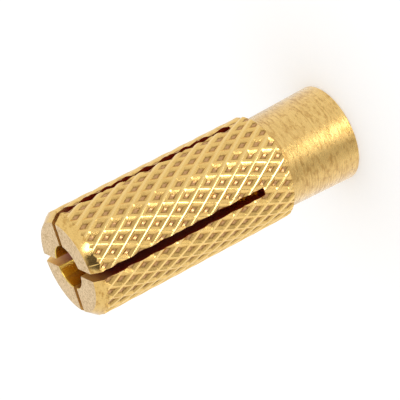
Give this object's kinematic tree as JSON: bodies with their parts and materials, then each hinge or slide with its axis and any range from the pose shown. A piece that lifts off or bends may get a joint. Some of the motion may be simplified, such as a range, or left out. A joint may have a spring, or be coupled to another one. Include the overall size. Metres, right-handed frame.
{
  "type": "brass expansion anchor",
  "caption": "Knurled brass expansion anchor: plain collar at the mouth, female thread inside, and a chamfered tip slit into legs that a screw wedges apart.",
  "frame": {"origin": "centre of the mouth's rim, where the screw enters", "axes": "+Z along the axis from the mouth to the slotted tip; the wider saw cut runs along Y, the narrower one along X"},
  "size_m": [0.01, 0.01, 0.0283],
  "materials": {
    "brass": "bright turned and knurled"
  },
  "bodies": {
    "root": {"anchor_body": "brass"}
  },
  "joints": []
}
